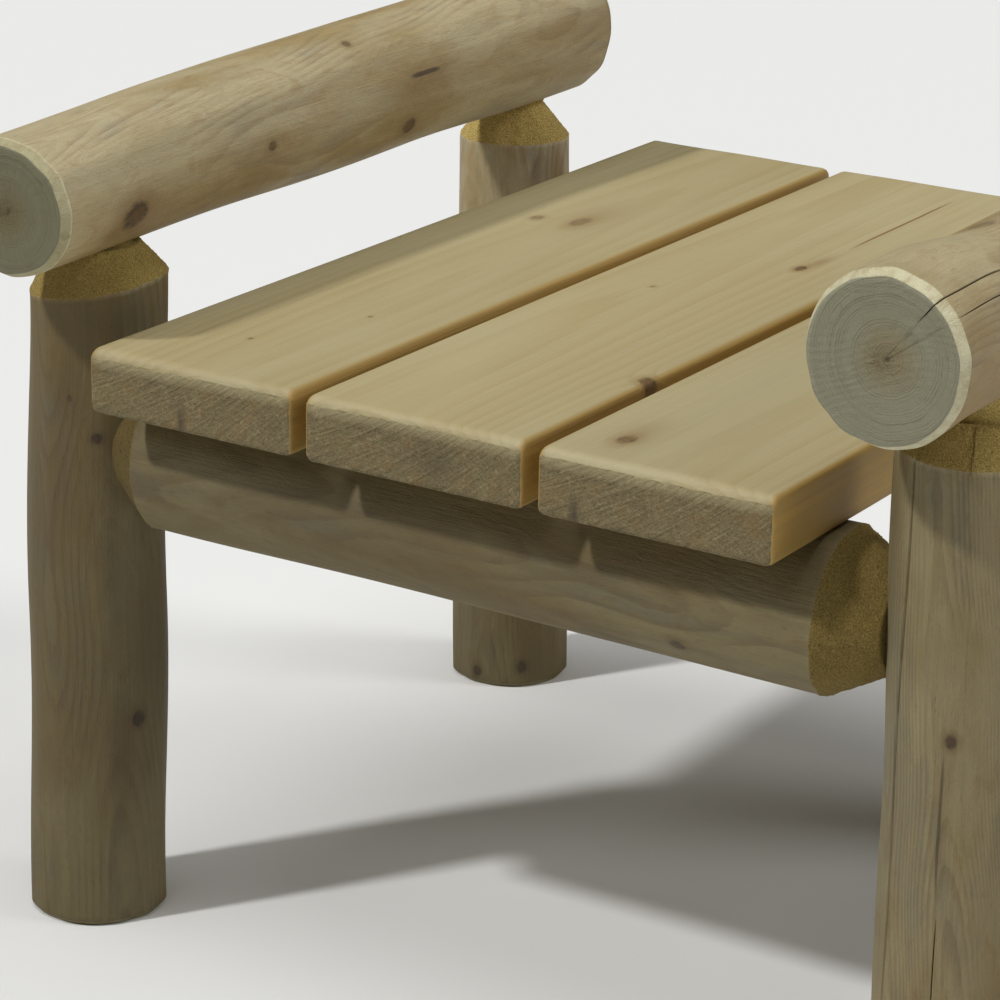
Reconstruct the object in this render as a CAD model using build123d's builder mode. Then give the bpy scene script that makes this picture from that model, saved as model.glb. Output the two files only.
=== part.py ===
from build123d import *
import os
from math import atan, sin

# Garden bench of peeled logs: four posts, two rails, two arm logs and three seat boards.
# The origin is on the ground under the middle of the bench. Seen from the front, +X points
# to the right, +Y to the back and +Z up. All sizes are in millimetres.

# Driving dimensions
bench_depth = 640
seat_height = 387
leg_x = 283
leg_y = 234
leg_radius = 41
foot_chamfer = 3
shoulder_above_seat = 18
arm_gap = 38  # from the seat's top to the underside of the arms

tenon_radius = 20
tenon_length = 45
tenon_chamfer = 2
glue_gap = 0.1
shoulder_gap = 0.5  # keeps a post's cone just off the arm that it meets

rail_radius = 45
rail_flat_height = 43  # from the rail's axis to the planed flat that carries the boards
rail_log_half = 219  # half of a rail's length between its cones
rail_sink = 9  # how deep a rail's cone sits in its post
rail_cone_tip_radius = 27
rail_tenon_length = 40

arm_x = 278
arm_length = 586
arm_back_radius = 47.5
arm_front_radius = {"left": 41.5, "right": 44.5}
arm_chamfer = 4
arm_tenon_cover = 2  # bottom of the blind mortise above the tenon's end

board_width = 140
board_thickness = 38
board_length = 628
board_gap = 9.4
board_edge_round = 5
board_end_round = 4
seat_shift_x = -8  # the boards and rails lie a little to one side between the posts

screw_radius = 2.1
seat_screw_length = 70
lock_screw_length = 55
screw_head_radius = 4.8
screw_head_height = 3
screw_head_edge = 1
screw_point = 5
drive_side = 3
drive_depth = 2
screw_spacing = 76  # between the two screws of one board
board_cover = 10.5  # wood left above a seat screw's point
pilot_clearance = 1  # a pilot hole is this much deeper than its screw
counterbore_radius = 6.5
lock_screw_inset = 5  # how far a rail lock screw's head is sunk in its post
arm_screw_inset = 10  # more in an arm, where it enters above the widest part
arm_screw_share = 0.7  # how far up the post's tenon an arm lock screw crosses it

# Sizes that follow from the driving ones
board_underside = seat_height - board_thickness
rail_z = board_underside - rail_flat_height
shoulder_z = seat_height + shoulder_above_seat
arm_underside = seat_height + arm_gap
tenon_root = arm_underside - shoulder_gap
rail_shoulder = leg_x - leg_radius + rail_sink
rail_tenon_end = rail_shoulder + rail_tenon_length
board_y = (bench_depth - board_length) / 2
board_pitch = board_width + board_gap
counterbore_floor = seat_height - board_cover - seat_screw_length
mortise_radius = tenon_radius + glue_gap
pilot_radius = screw_radius + glue_gap / 2
seat_pilot_depth = seat_screw_length + pilot_clearance
lock_pilot_depth = lock_screw_length + pilot_clearance
sunk_bore = 3 * lock_screw_inset  # long enough to clear the log's round side
arm_lock_z = tenon_root + arm_screw_share * tenon_length

sides = {"left": -1, "right": 1}
ends = {"front": -1, "back": 1}

os.makedirs("parts", exist_ok=True)


def finish(piece, name):
    piece.part.label = name
    export_step(piece.part, f"parts/{name}.step")


# Round-headed wood screws with a square drive, point up: the head's seat is at z = 0.
screws = {}
for purpose, length in (("seat", seat_screw_length), ("lock", lock_screw_length)):
    with BuildPart() as screw:
        with BuildSketch(Plane.XZ):
            with BuildLine():
                Polyline(
                    (0, -screw_head_height),
                    (screw_head_radius - screw_head_edge, -screw_head_height),
                    (screw_head_radius, screw_head_edge - screw_head_height),
                    (screw_head_radius, 0),
                    (screw_radius, 0),
                    (screw_radius, length - screw_point),
                    (0, length),
                    close=True,
                )
            make_face()
        revolve(axis=Axis.Z)
        with BuildSketch(Plane.XY.offset(-screw_head_height)):
            Rectangle(drive_side, drive_side)
        extrude(amount=drive_depth, mode=Mode.SUBTRACT)
    screws[purpose] = screw.part

# Screw seats: one plane for each screw, with its z direction towards the screw's point.
board_screw_x = [
    seat_shift_x + column * board_pitch + offset * screw_spacing / 2
    for column in (-1, 0, 1)
    for offset in (-1, 1)
]
seat_screw_planes = {
    end: [Plane((x, way * leg_y, counterbore_floor)) for x in board_screw_x]
    for end, way in ends.items()
}
rail_lock_planes = {
    (side, end): Plane(
        (hand * leg_x, way * leg_y + leg_radius - lock_screw_inset, rail_z),
        x_dir=(1, 0, 0),
        z_dir=(0, -1, 0),
    )
    for side, hand in sides.items()
    for end, way in ends.items()
}
arm_lock_planes = {
    (side, end): Plane(
        (hand * (arm_x + arm_front_radius[side] - arm_screw_inset), way * leg_y, arm_lock_z),
        x_dir=(0, 1, 0),
        z_dir=(-hand, 0, 0),
    )
    for side, hand in sides.items()
    for end, way in ends.items()
}

# Posts: round logs, with a coned shoulder and a round tenon that enters the arm. A rail's
# cone and tenon sit in a countersunk mortise in the post's side.
for side, hand in sides.items():
    for end, way in ends.items():
        foot = Plane((hand * leg_x, way * leg_y, 0), x_dir=(1, 0, 0), z_dir=(0, -1, 0))
        beside_rail = Plane((0, way * leg_y, rail_z), x_dir=(hand, 0, 0), z_dir=(0, -1, 0))
        rail_cone_start = rail_log_half + hand * seat_shift_x
        socket_floor = rail_shoulder + glue_gap
        socket_radius = rail_cone_tip_radius + glue_gap
        mortise_floor = rail_tenon_end + pilot_clearance
        with BuildPart() as leg:
            with BuildSketch(foot):
                with BuildLine():
                    Polyline(
                        (0, 0),
                        (leg_radius - foot_chamfer, 0),
                        (leg_radius, foot_chamfer),
                        (leg_radius, shoulder_z),
                        (tenon_radius, tenon_root),
                        (tenon_radius, tenon_root + tenon_length - tenon_chamfer),
                        (tenon_radius - tenon_chamfer, tenon_root + tenon_length),
                        (0, tenon_root + tenon_length),
                        close=True,
                    )
                make_face()
            revolve(axis=Axis((hand * leg_x, way * leg_y, 0), (0, 0, 1)))
            with BuildSketch(beside_rail):
                with BuildLine():
                    Polyline(
                        (rail_cone_start, 0),
                        (rail_cone_start, rail_radius + glue_gap),
                        (socket_floor, socket_radius),
                        (socket_floor, mortise_radius),
                        (mortise_floor, mortise_radius),
                        (mortise_floor, 0),
                        close=True,
                    )
                make_face()
            revolve(axis=Axis((0, way * leg_y, rail_z), (1, 0, 0)), mode=Mode.SUBTRACT)
            with BuildSketch(rail_lock_planes[side, end]):
                Circle(pilot_radius)
            extrude(amount=lock_pilot_depth, mode=Mode.SUBTRACT)
            with BuildSketch(rail_lock_planes[side, end]):
                Circle(screw_head_radius + glue_gap)
            extrude(amount=-sunk_bore, mode=Mode.SUBTRACT)
            with BuildSketch(arm_lock_planes[side, end]):
                Circle(pilot_radius)
            extrude(amount=lock_pilot_depth, mode=Mode.SUBTRACT)
        finish(leg, f"leg_{end}_{side}")

# Rails: round logs with a long cone and a tenon at each end, planed flat for the boards.
for end, way in ends.items():
    middle = Plane((0, way * leg_y, rail_z), x_dir=(1, 0, 0), z_dir=(0, -1, 0))
    with BuildPart() as rail:
        with BuildSketch(middle):
            with BuildLine():
                Polyline(
                    (-rail_tenon_end, 0),
                    (-rail_tenon_end, tenon_radius - tenon_chamfer),
                    (-rail_tenon_end + tenon_chamfer, tenon_radius),
                    (-rail_shoulder, tenon_radius),
                    (-rail_shoulder, rail_cone_tip_radius),
                    (seat_shift_x - rail_log_half, rail_radius),
                    (seat_shift_x + rail_log_half, rail_radius),
                    (rail_shoulder, rail_cone_tip_radius),
                    (rail_shoulder, tenon_radius),
                    (rail_tenon_end - tenon_chamfer, tenon_radius),
                    (rail_tenon_end, tenon_radius - tenon_chamfer),
                    (rail_tenon_end, 0),
                    close=True,
                )
            make_face()
        revolve(axis=Axis((0, way * leg_y, rail_z), (1, 0, 0)))
        split(bisect_by=Plane.XY.offset(board_underside), keep=Keep.BOTTOM)
        for seat in seat_screw_planes[end]:
            with BuildSketch(seat):
                Circle(counterbore_radius)
            extrude(amount=-rail_radius, mode=Mode.SUBTRACT)
            with BuildSketch(seat):
                Circle(pilot_radius)
            extrude(amount=seat_pilot_depth, mode=Mode.SUBTRACT)
        for side in sides:
            with BuildSketch(rail_lock_planes[side, end]):
                Circle(pilot_radius)
            extrude(amount=lock_pilot_depth, mode=Mode.SUBTRACT)
    finish(rail, f"seat_rail_{end}")

# Arms: tapered logs whose undersides are level, so their axes rise slightly to the back.
for side, hand in sides.items():
    front_radius = arm_front_radius[side]
    rise = arm_back_radius - front_radius
    front_y = -bench_depth / 2 + front_radius * sin(atan(rise / arm_length))
    front_centre = (hand * arm_x, front_y, arm_underside + front_radius)
    along = (0, arm_length, rise)
    with BuildPart() as arm:
        with BuildSketch(Plane(front_centre, x_dir=along, z_dir=(1, 0, 0))):
            with BuildLine():
                Polyline(
                    (0, 0),
                    (0, front_radius - arm_chamfer),
                    (arm_chamfer, front_radius),
                    (arm_length - arm_chamfer, arm_back_radius),
                    (arm_length, arm_back_radius - arm_chamfer),
                    (arm_length, 0),
                    close=True,
                )
            make_face()
        revolve(axis=Axis(front_centre, along))
        for end, way in ends.items():
            with BuildSketch(Plane((hand * leg_x, way * leg_y, tenon_root - 1))):
                Circle(mortise_radius)
            extrude(amount=tenon_length + 1 + arm_tenon_cover, mode=Mode.SUBTRACT)
            with BuildSketch(arm_lock_planes[side, end]):
                Circle(pilot_radius)
            extrude(amount=lock_pilot_depth, mode=Mode.SUBTRACT)
            with BuildSketch(arm_lock_planes[side, end]):
                Circle(screw_head_radius + glue_gap)
            extrude(amount=-sunk_bore, mode=Mode.SUBTRACT)
    finish(arm, f"arm_log_{side}")

# Seat boards, from the left, with pilot holes for the screws from below.
for column, name in ((-1, "left"), (0, "middle"), (1, "right")):
    board_x = seat_shift_x + column * board_pitch
    with BuildPart() as board:
        with BuildSketch(Plane((board_x, board_y, board_underside))):
            Rectangle(board_width, board_length)
        extrude(amount=board_thickness)
        fillet(board.edges().filter_by(Axis.Y), board_edge_round)
        fillet(board.faces().filter_by(Axis.Y).edges(), board_end_round)
        for way in ends.values():
            for offset in (-1, 1):
                x = board_x + offset * screw_spacing / 2
                with BuildSketch(Plane((x, way * leg_y, counterbore_floor))):
                    Circle(pilot_radius)
                extrude(amount=seat_pilot_depth, mode=Mode.SUBTRACT)
    finish(board, f"seat_board_{name}")

# Screws
for end in ends:
    with BuildPart() as seat_screws:
        for seat in seat_screw_planes[end]:
            add(seat * screws["seat"])
    finish(seat_screws, f"seat_screws_{end}")

with BuildPart() as rail_lock_screws:
    for seat in rail_lock_planes.values():
        add(seat * screws["lock"])
finish(rail_lock_screws, "rail_lock_screws")

with BuildPart() as arm_lock_screws:
    for seat in arm_lock_planes.values():
        add(seat * screws["lock"])
finish(arm_lock_screws, "arm_lock_screws")
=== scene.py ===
import math
import bpy
import numpy as np
from mathutils import Matrix, Vector


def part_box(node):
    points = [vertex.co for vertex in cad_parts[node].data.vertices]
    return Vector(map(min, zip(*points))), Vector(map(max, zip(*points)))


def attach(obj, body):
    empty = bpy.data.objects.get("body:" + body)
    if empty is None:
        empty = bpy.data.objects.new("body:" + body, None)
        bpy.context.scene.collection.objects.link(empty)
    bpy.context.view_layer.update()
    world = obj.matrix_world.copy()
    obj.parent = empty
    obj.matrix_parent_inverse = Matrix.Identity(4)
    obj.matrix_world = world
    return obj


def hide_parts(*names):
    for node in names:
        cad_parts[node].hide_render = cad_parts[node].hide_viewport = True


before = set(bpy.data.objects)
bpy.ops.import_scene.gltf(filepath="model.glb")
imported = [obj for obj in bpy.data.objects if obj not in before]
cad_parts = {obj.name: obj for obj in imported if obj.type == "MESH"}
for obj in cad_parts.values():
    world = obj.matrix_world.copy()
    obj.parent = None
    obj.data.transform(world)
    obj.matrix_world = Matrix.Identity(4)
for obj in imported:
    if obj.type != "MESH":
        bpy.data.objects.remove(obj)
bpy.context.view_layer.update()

mm = 0.001


def srgb(red, green, blue):
    # a colour as a painter would pick it, each part from 11 to 255, turned into linear light
    light = [((c / 255 + 0.055) / 1.055) ** 2.4 for c in (red, green, blue)]
    return (*light, 1.0)


# ---- shader expressions ----
class Signal:
    # a node's output that can be used in sums
    def __init__(self, paint, node, output=0):
        self.paint, self.node, self.socket = paint, node, node.outputs[output]

    def of(self, output):
        return Signal(self.paint, self.node, output)

    def math(self, operation, *values):
        return self.paint.node("Math", {"operation": operation}, dict(enumerate(values)))

    def __add__(self, other):
        return self.math("ADD", self, other)

    def __sub__(self, other):
        return self.math("SUBTRACT", self, other)

    def __rsub__(self, other):
        return self.math("SUBTRACT", other, self)

    def __mul__(self, other):
        return self.math("MULTIPLY", self, other)

    def __pow__(self, other):
        return self.math("POWER", self, other)

    __radd__, __rmul__ = __add__, __mul__

    def fract(self):
        return self.math("FRACT", self)

    def sine(self):
        return self.math("SINE", self)

    def ramp(self, low, high):
        # 0 below low, 1 above high and smooth between; low may be the larger one
        if low > high:
            return 1 - self.ramp(high, low)
        settings = {"interpolation_type": "SMOOTHSTEP"}
        return self.paint.node("MapRange", settings, {"Value": self, "From Min": low, "From Max": high})


class Paint:
    # one material and the nodes in it
    def __init__(self, name, roughness):
        self.material = bpy.data.materials.new(name)
        self.material.use_nodes = True
        self.tree = self.material.node_tree
        self.shader = next(n for n in self.tree.nodes if n.type == "BSDF_PRINCIPLED")
        self.shader.inputs["Roughness"].default_value = roughness

    def node(self, kind, settings=None, inputs=None, output=0):
        made = self.tree.nodes.new("ShaderNode" + kind)
        for key, value in (settings or {}).items():
            setattr(made, key, value)
        for key, value in (inputs or {}).items():
            self.feed(made.inputs[key], value)
        return Signal(self, made, output)

    def feed(self, socket, value):
        if isinstance(value, Signal):
            self.tree.links.new(value.socket, socket)
        else:
            socket.default_value = value

    def field(self, name):
        # a number or place that the mesh code has worked out at each vertex
        return self.node("Attribute", {"attribute_name": name}, output="Fac")

    def place(self, across, along):
        where = self.field("place").of("Vector")
        return self.node("VectorMath", {"operation": "MULTIPLY"}, {0: where, 1: (across, across, along)})

    def noise(self, across, along, detail=3.0, roughness=0.55, distortion=0.0):
        # grain-shaped noise: across and along are its cells per metre
        values = {"Vector": self.place(across, along), "Scale": 1.0, "Detail": detail}
        values.update({"Roughness": roughness, "Distortion": distortion})
        return self.node("TexNoise", None, values)

    def mix(self, amount, first, second):
        # from the first colour to the second; a colour Mix has its colours on inputs 6 and 7
        return self.node("Mix", {"data_type": "RGBA"}, {0: amount, 6: first, 7: second}, 2)

    def vector(self, name):
        # the three parts of a place or a way that the mesh code has worked out at each vertex
        where = self.node("SeparateXYZ", None, {0: self.field(name).of("Vector")})
        return where, where.of(1), where.of(2)

    def shade(self, colour, factor):
        # a colour made lighter or darker by a number that varies
        colour = colour[:3] if isinstance(colour, tuple) else colour
        return self.node("VectorMath", {"operation": "SCALE"}, {0: colour, "Scale": factor})

    def toneAndPaintedShading(self, colour):
        # each log's and board's "tone": on the boards it is their own tone, on the logs it is their own
        # tone together with painted shade and light; the darker the wood, the browner it is
        tone = self.field("tone")
        tint = self.node("CombineXYZ", None, {0: tone, 1: tone ** 1.06, 2: tone ** 1.4})
        return self.node("VectorMath", {"operation": "MULTIPLY"}, {0: colour, 1: tint})

    def finish(self, colour, height=None, distance=0.001, roughness=None):
        self.feed(self.shader.inputs["Base Color"], colour)
        if roughness is not None:
            self.feed(self.shader.inputs["Roughness"], roughness)
        if height is not None:
            bump = self.node("Bump", None, {"Strength": 1.0, "Distance": distance, "Height": height})
            self.feed(self.shader.inputs["Normal"], bump)
        return self.material


# ---- materials ----
def knotMarks(paint, colour, tones):
    # "knotAt" holds the way to the nearest knot in knot radii, across and along, and how dark it is
    across, along, tone = paint.vector("knotAt")
    wobble = paint.noise(420, 190, 3.0)
    edge = (across * across + along * along) ** 0.5 + (wobble - 0.5) * 1.1
    halo = edge.ramp(3.0, 0.6) * tone * 0.75
    core = edge.ramp(1.3, 0.4) * tone
    rings = ((edge * 11.0).sine() * 0.5 + 0.5) * 0.35 + 0.65
    rim = edge.ramp(0.4, 0.9) * edge.ramp(1.5, 1.0) * tone * wobble.ramp(0.35, 0.6)
    colour = paint.mix(halo, colour, tones["halo"])
    colour = paint.mix(core * 0.85, colour, paint.shade(tones["knot"], rings))
    return paint.mix(rim * 0.8, colour, tones["rim"])


def thinLine(paint, colour, dark):
    # "lineAt" is laid out like "knotAt", for one long thin resin line or hairline crack
    across, along, tone = paint.vector("lineAt")
    bent = across + (paint.noise(30, 9, 2.0) - 0.5) * 3.0
    off = bent * bent + along ** 4.0
    return paint.mix(off.ramp(1.0, 0.1) * tone, colour, dark)


def openChecks(paint, colour, dark, strength=0.9):
    # "groove" is 1 in the middle of a drying check
    return paint.mix(paint.field("groove").ramp(0.1, 0.7) * strength, colour, dark)


peeledWood = {
    "pale": srgb(166, 153, 117),
    "tan": srgb(146, 127, 84),
    "grey": srgb(130, 124, 104),
    "brown": srgb(122, 94, 52),
    "patches": 13,  # colour patches per metre around the log
    "fibres": 900,
    "halo": srgb(120, 96, 58),
    "knot": srgb(88, 66, 38),
    "rim": srgb(50, 36, 22),
    "check": srgb(72, 50, 28),
}


def makePeeledWood():
    v = peeledWood
    paint = Paint("peeledLog", 0.62)
    patches = paint.noise(v["patches"], 4.5, 4.0, 0.6, 0.4)
    clouds = paint.noise(v["patches"] * 2.7, 9, 3.0, 0.6)
    fibre = paint.noise(v["fibres"], 16, 4.0, 0.65)
    streak = paint.noise(150, 5, 4.0, 0.6)
    flecks = paint.noise(600, 150, 2.0, 0.7)
    feather = paint.noise(70, 30, 4.0, 0.65, 1.2)
    grit = paint.noise(1500, 700, 2.0, 0.8)
    colour = paint.mix(patches.ramp(0.4, 0.6), v["tan"], v["pale"])
    colour = paint.mix(clouds.ramp(0.52, 0.7) * 0.6, colour, v["grey"])
    colour = paint.mix(paint.field("stain") * (0.4 + 0.5 * clouds), colour, v["grey"])
    colour = paint.mix(paint.field("warm") * (0.3 + 0.7 * streak), colour, v["brown"])
    line = (paint.field("contour") + streak * 0.35 + feather * 0.3).fract()
    lines = line.ramp(0.3, 0.9) * line.ramp(1.0, 0.92) * clouds.ramp(0.36, 0.64)
    colour = paint.mix(feather.ramp(0.5, 0.74) * 0.42, colour, v["brown"])
    colour = paint.mix(lines * 0.3, colour, v["brown"])
    light = 1 + (fibre - 0.5) * 0.3 + (streak - 0.5) * 0.24 - lines * 0.08
    light = light - flecks.ramp(0.6, 0.76) * 0.2 + (feather - 0.5) * 0.42 + (clouds - 0.5) * 0.3
    colour = paint.shade(colour, light + (grit - 0.5) * 0.32)
    colour = paint.toneAndPaintedShading(thinLine(paint, knotMarks(paint, colour, v), v["rim"]))
    colour = openChecks(paint, colour, v["check"], 0.92)
    height = fibre * 0.5 + streak * 0.7 + lines * 0.1 + feather * 1.1 + grit * 0.5
    return paint.finish(colour, height, 0.0008, 0.55 + 0.2 * streak)


sawnLogEnd = {
    "heart": srgb(140, 128, 96),
    "sap": srgb(143, 141, 116),
    "ring": srgb(108, 95, 66),
    "check": srgb(66, 48, 30),
    "ringsPerMetre": 640,
    "spreadPerMetre": 240.0,  # how quickly wide and narrow years follow each other
}


def makeSawnLogEnd():
    v = sawnLogEnd
    paint = Paint("sawnLogEnd", 0.8)
    radius = paint.field("pith")
    wobble = paint.noise(26, 26, 4.0, 0.6)
    blotch = paint.noise(34, 34, 3.0, 0.6)
    pores = paint.noise(1100, 1100, 3.0, 0.75)
    spacing = {"W": radius * v["spreadPerMetre"], "Scale": 1.0, "Detail": 2.0}
    spread = paint.node("TexNoise", {"noise_dimensions": "1D"}, spacing)
    year = (radius + (wobble - 0.5) * 0.005) * v["ringsPerMetre"] + spread * 2.0
    ring = year.fract()
    late = ring.ramp(0.35, 0.85) * ring.ramp(1.0, 0.9) * spread.ramp(0.35, 0.65)
    colour = paint.mix(radius.ramp(0.004, 0.024) * (0.5 + blotch), v["heart"], v["sap"])
    colour = paint.mix(late * (0.12 + 0.42 * blotch), colour, v["ring"])
    scratches = (paint.noise(9, 9, 1.0) * 300.0).sine()
    light = 0.98 + (pores - 0.5) * 0.36 + (blotch - 0.5) * 0.2 + scratches * 0.014
    colour = paint.toneAndPaintedShading(paint.shade(colour, light - radius.ramp(0.0026, 0.001) * 0.3))
    colour = openChecks(paint, colour, v["check"])
    return paint.finish(colour, pores + late * 0.3 + scratches * 0.1, 0.0008)


freshCut = {"cream": srgb(190, 183, 148), "shade": srgb(166, 154, 116)}


def makeFreshCut():
    # the chamfer round a log's sawn end, still pale
    paint = Paint("freshCutRim", 0.7)
    tear = paint.noise(150, 60, 4.0, 0.7)
    pores = paint.noise(1000, 400, 3.0, 0.7)
    colour = paint.mix(tear.ramp(0.38, 0.74), freshCut["cream"], freshCut["shade"])
    colour = paint.toneAndPaintedShading(paint.shade(colour, 1 + (pores - 0.5) * 0.3))
    colour = openChecks(paint, colour, peeledWood["check"])
    return paint.finish(colour, pores + tear * 0.8, 0.0008)


turnedShoulder = {
    "pale": srgb(200, 180, 112),
    "ochre": srgb(166, 142, 74),
    "dark": srgb(116, 94, 42),
    "fuzz": 1200,
}


def makeTurnedShoulder():
    # a tenon cutter leaves the cone's end grain torn and fuzzy
    v = turnedShoulder
    paint = Paint("turnedShoulder", 0.9)
    fuzz = paint.noise(v["fuzz"], v["fuzz"], 4.0, 0.75)
    clumps = paint.noise(70, 70, 2.0, 0.6)
    colour = paint.mix(fuzz.ramp(0.34, 0.54), v["dark"], v["ochre"])
    colour = paint.mix(fuzz.ramp(0.5, 0.7), colour, v["pale"])
    colour = paint.toneAndPaintedShading(paint.shade(colour, 0.86 + 0.28 * clumps))
    return paint.finish(colour, fuzz + clumps * 0.5, 0.0008)


sawnWood = {
    "face": srgb(164, 152, 114),
    "late": srgb(150, 132, 86),
    # the sides' colour: partly their own warmer colour, partly painted shade in the gaps between boards
    "edge": srgb(148, 118, 56),
    "brown": srgb(122, 92, 54),
    "lines": 0.22,  # ring lines per millimetre
    "halo": srgb(140, 114, 70),
    "knot": srgb(104, 76, 44),
    "rim": srgb(62, 44, 26),
}


def makeSawnWood():
    v = sawnWood
    paint = Paint("sawnBoard", 0.58)
    patches = paint.noise(12, 3.0, 3.0, 0.5)
    fibre = paint.noise(1000, 11, 4.0, 0.6)
    streak = paint.noise(210, 2.6, 3.0, 0.6)
    flecks = paint.noise(620, 60, 2.0, 0.7)
    line = (paint.field("contour") * v["lines"] + streak * 0.5).fract()
    late = line.ramp(0.25, 0.9) * line.ramp(1.0, 0.9) * patches.ramp(0.3, 0.6)
    side = paint.field("side")
    colour = paint.mix(late * 0.26 + patches.ramp(0.4, 0.65) * 0.3, v["face"], v["late"])
    # the sides take a warmer, darker colour: partly the sawn sides' own colour, partly painted shade in the
    # gaps between the boards
    colour = paint.mix(side * (0.8 + 0.3 * streak), colour, v["edge"])
    colour = paint.mix(paint.field("warm") * (0.5 + 0.5 * streak), colour, v["brown"])
    light = 1 + (fibre - 0.5) * 0.17 + (streak - 0.5) * (0.12 + 0.6 * side)
    light = light - flecks.ramp(0.68, 0.8) * 0.07
    colour = paint.toneAndPaintedShading(paint.shade(colour, light + side * 0.1))
    colour = thinLine(paint, knotMarks(paint, colour, v), v["brown"])
    height = fibre * 0.5 + late * 0.4 + streak * 0.4
    return paint.finish(colour, height, 0.0004, 0.52 + 0.16 * streak)


boardEnd = {
    "pale": srgb(186, 172, 130),
    "mid": srgb(148, 133, 94),
    "dark": srgb(112, 96, 60),
    "orange": srgb(142, 108, 60),
    "crack": srgb(70, 58, 44),
    "fuzz": 800,
    "sawAcross": 480,  # saw scratches per metre, across and along them
    "sawAlong": 26,
}


def makeBoardEnd():
    v = boardEnd
    paint = Paint("boardEndGrain", 0.9)
    across, up, _ = paint.vector("place")
    bow = across * across * 1.4
    alongSaw = across * 0.84 + up * 0.54 + bow
    acrossSaw = up * 0.84 - across * 0.54 - bow
    sawPlace = paint.node("CombineXYZ", None, {0: alongSaw * v["sawAlong"], 1: acrossSaw * v["sawAcross"]})
    saw = paint.node("TexNoise", None, {"Vector": sawPlace, "Scale": 1.0, "Detail": 3.0, "Roughness": 0.6})
    fuzz = paint.noise(v["fuzz"], v["fuzz"], 4.0, 0.7)
    clumps = paint.noise(60, 60, 3.0, 0.6)
    flecks = paint.noise(330, 330, 3.0, 0.7)
    ring = (paint.field("contour") * 0.34 + clumps * 0.6).fract()
    late = ring.ramp(0.4, 0.85) * ring.ramp(1.0, 0.92)
    colour = paint.mix(fuzz.ramp(0.28, 0.58), v["dark"], v["mid"])
    colour = paint.mix(flecks.ramp(0.5, 0.72) * 0.45, colour, v["pale"])
    colour = paint.mix(clumps.ramp(0.52, 0.7) * 0.4, colour, v["orange"])
    light = 0.6 + 0.28 * clumps + (saw - 0.5) * 0.66 - 0.06 * late
    colour = paint.shade(colour, light)
    colour = paint.mix(paint.field("topEdge") * (0.5 + 0.8 * flecks), colour, sawnWood["face"])
    colour = paint.mix(paint.field("warm"), colour, v["crack"])
    return paint.finish(colour, fuzz * 0.9 + clumps + saw * 1.5, 0.0011)


zinc = {"light": srgb(176, 176, 172), "dull": srgb(140, 138, 130), "spangles": 900.0}


def makeZinc():
    paint = Paint("zincSteel", 0.4)
    paint.shader.inputs["Metallic"].default_value = 1.0
    where = paint.node("TexCoord", output="Object")
    spangle = paint.node("TexVoronoi", None, {"Vector": where, "Scale": zinc["spangles"]})
    haze = paint.node("TexNoise", None, {"Vector": where, "Scale": 260.0, "Detail": 4.0})
    colour = paint.mix(haze, zinc["light"], zinc["dull"])
    return paint.finish(colour, spangle * 0.4 + haze, 0.0002, 0.3 + 0.25 * haze)


materials = {
    "bark": makePeeledWood(),
    "end": makeSawnLogEnd(),
    "rim": makeFreshCut(),
    "cone": makeTurnedShoulder(),
    "board": makeSawnWood(),
    "boardEnd": makeBoardEnd(),
    "zinc": makeZinc(),
}
print("materials:", len(materials))


# ---- mesh tools ----
knotReach = 3.2  # knot radii within which a knot colours the wood
farAway = 99.0  # knot radii, before any knot is found


def smoothField(seed, lobes, waves):
    # a smooth uneven surface on a log: returns a function of angle and of the distance along in metres
    draw = np.random.default_rng(seed)
    terms = []
    for lobe in lobes:
        wave = draw.uniform(0.3, 1.0) * waves
        terms.append((lobe, wave, draw.uniform(0, math.tau), draw.uniform(0.4, 1.0)))
    scale = math.sqrt(1 / sum(t[3] ** 2 for t in terms))

    def value(angle, along):
        total = 0
        for lobe, wave, phase, weight in terms:
            total = total + weight * np.cos(lobe * angle + wave * along * math.tau + phase)
        return total * scale

    return value


def between(points, along, column):
    # one column of a given list, eased from point to point; along is in metres, the list in mm
    at = np.array([p[0] for p in points]) * mm
    values = np.array([p[column] for p in points]) * mm
    place = np.clip(np.searchsorted(at, along, side="right") - 1, 0, len(at) - 2)
    t = np.clip((along - at[place]) / (at[place + 1] - at[place]), 0, 1)
    return values[place] + (values[place + 1] - values[place]) * t * t * (3 - 2 * t)


def hill(away):
    # 1 in the middle of a mark, falling off smoothly around it
    return np.exp(-(away**2))


def knotWays(across, along, tone, away):
    # what "knotAt" and "lineAt" hold: the way to a mark in its own radii, and how dark it is
    return np.stack(np.broadcast_arrays(across, along, tone * (away < knotReach)), -1)


def buildMesh(name, points, faces, kinds, fields, vectors):
    # "fields" are numbers and "vectors" are places that the materials read at each vertex
    mesh = bpy.data.meshes.new(name)
    mesh.from_pydata(points.tolist(), [], faces)
    used = sorted(set(kinds))
    for key in used:
        mesh.materials.append(materials[key])
    mesh.polygons.foreach_set("material_index", [used.index(k) for k in kinds])
    mesh.polygons.foreach_set("use_smooth", [True] * len(faces))
    for key, values in fields.items():
        made = mesh.attributes.new(key, "FLOAT", "POINT")
        made.data.foreach_set("value", np.asarray(values, np.float32).ravel())
    for key, values in vectors.items():
        made = mesh.attributes.new(key, "FLOAT_VECTOR", "POINT")
        made.data.foreach_set("vector", np.asarray(values, np.float32).ravel())
    mesh.update()
    piece = bpy.data.objects.new(name, mesh)
    bpy.context.scene.collection.objects.link(piece)
    return piece


def standFor(piece, node):
    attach(piece, "root")
    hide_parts(node)


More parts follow.
